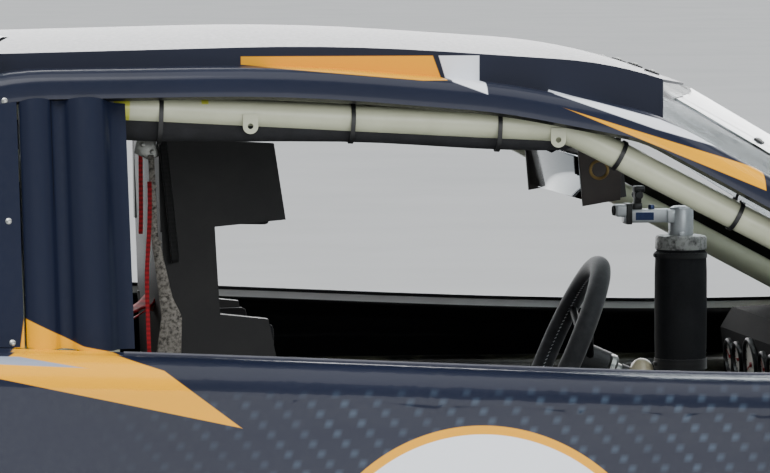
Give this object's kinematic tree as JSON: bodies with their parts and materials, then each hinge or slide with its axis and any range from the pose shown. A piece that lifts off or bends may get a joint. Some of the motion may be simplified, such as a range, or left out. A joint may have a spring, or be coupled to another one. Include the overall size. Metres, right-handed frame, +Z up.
{
  "type": "stock car",
  "caption": "Full-size closed stock car with sheet body, tube cage, open side windows, working steering, rolling wheels, hood and deck lid.",
  "frame": {"origin": "on the ground under the middle of the car's length and width", "axes": "+X to the nose, +Y to the driver's left, +Z up"},
  "size_m": [4.98, 1.9676, 1.3652],
  "materials": {
    "navy_paint": "gloss dark navy enamel",
    "cage_paint": "cream gloss on steel tube",
    "frame_paint": "grey satin",
    "sheet_metal": "plain folded sheet",
    "clear_sheet": "clear polycarbonate",
    "tyre_rubber": "slick racing tread",
    "wheel_paint": "black gloss steel wheel",
    "black_plastic": "matte black",
    "seat_shell": "covered aluminium shell",
    "foam": "dense closed-cell foam",
    "cast_metal": "cast and painted"
  },
  "bodies": {
    "chassis": {"nose_panel": "navy_paint", "front_fenders": "navy_paint", "door_skins": "navy_paint", "rear_quarters": "navy_paint", "tail_panel": "navy_paint", "cowl_panel": "navy_paint", "roof_rails": "navy_paint", "roof_panel": "navy_paint", "windshield": "clear_sheet", "rear_window": "clear_sheet", "door_posts": "navy_paint", "quarter_windows": "navy_paint", "roll_cage": "cage_paint", "frame_rails": "frame_paint", "floor_pan": "sheet_metal", "dash_panel": "sheet_metal", "steering_column": "frame_paint", "seat": "seat_shell", "camera_mount": "frame_paint", "post_pad": "foam", "rear_view_mirror": "black_plastic", "gear_lever": "frame_paint", "halo_pads": "foam", "front_arms": "frame_paint", "rear_axle": "frame_paint", "engine_block": "cast_metal", "radiator": "sheet_metal", "fuel_cell": "black_plastic", "front_splitter": "black_plastic", "grille": "black_plastic"},
    "hood": {"hood": "navy_paint"},
    "decklid": {"decklid": "navy_paint", "rear_spoiler": "sheet_metal"},
    "steering_wheel": {"steering_wheel": "foam"},
    "knuckle_left": {"knuckle_left": "frame_paint"},
    "knuckle_right": {"knuckle_right": "frame_paint"},
    "wheel_front_left": {"tyre_front_left": "tyre_rubber", "wheel_front_left": "wheel_paint"},
    "wheel_front_right": {"tyre_front_right": "tyre_rubber", "wheel_front_right": "wheel_paint"},
    "wheel_rear_left": {"tyre_rear_left": "tyre_rubber", "wheel_rear_left": "wheel_paint"},
    "wheel_rear_right": {"tyre_rear_right": "tyre_rubber", "wheel_rear_right": "wheel_paint"}
  },
  "joints": [
    {"name": "hood_hinge", "type": "hinge", "parent": "chassis", "child": "hood", "pos_m": [1.128, 0, 0.903], "axis": [0, -1, 0], "range_deg": [0, 60]},
    {"name": "decklid_hinge", "type": "hinge", "parent": "chassis", "child": "decklid", "pos_m": [-1.585, 0, 1.0011], "axis": [0, 1, 0], "range_deg": [0, 60]},
    {"name": "steer_left", "type": "hinge", "parent": "chassis", "child": "knuckle_left", "pos_m": [1.46, 0.68, 0.355], "axis": [0, 0, 1], "range_deg": [-18, 18]},
    {"name": "steer_right", "type": "hinge", "parent": "chassis", "child": "knuckle_right", "pos_m": [1.46, -0.68, 0.355], "axis": [0, 0, 1], "range_deg": [-18, 18]},
    {"name": "steering_wheel_turn", "type": "hinge", "parent": "chassis", "child": "steering_wheel", "pos_m": [0.39288, 0.39193, 0.75978], "axis": [-0.9141, 0.0639, 0.4003], "range_deg": [-216, 216]},
    {"name": "spin_front_left", "type": "hinge", "parent": "knuckle_left", "child": "wheel_front_left", "pos_m": [1.46, 0.77, 0.355], "axis": [0, 1, 0], "continuous": true},
    {"name": "spin_front_right", "type": "hinge", "parent": "knuckle_right", "child": "wheel_front_right", "pos_m": [1.46, -0.77, 0.355], "axis": [0, 1, 0], "continuous": true},
    {"name": "spin_rear_left", "type": "hinge", "parent": "chassis", "child": "wheel_rear_left", "pos_m": [-1.334, 0.77, 0.355], "axis": [0, 1, 0], "continuous": true},
    {"name": "spin_rear_right", "type": "hinge", "parent": "chassis", "child": "wheel_rear_right", "pos_m": [-1.334, -0.77, 0.355], "axis": [0, 1, 0], "continuous": true}
  ],
  "couplings": [
    {"joint": "steer_right", "follows": "steer_left", "ratio": 1},
    {"joint": "steering_wheel_turn", "follows": "steer_left", "ratio": 12}
  ]
}
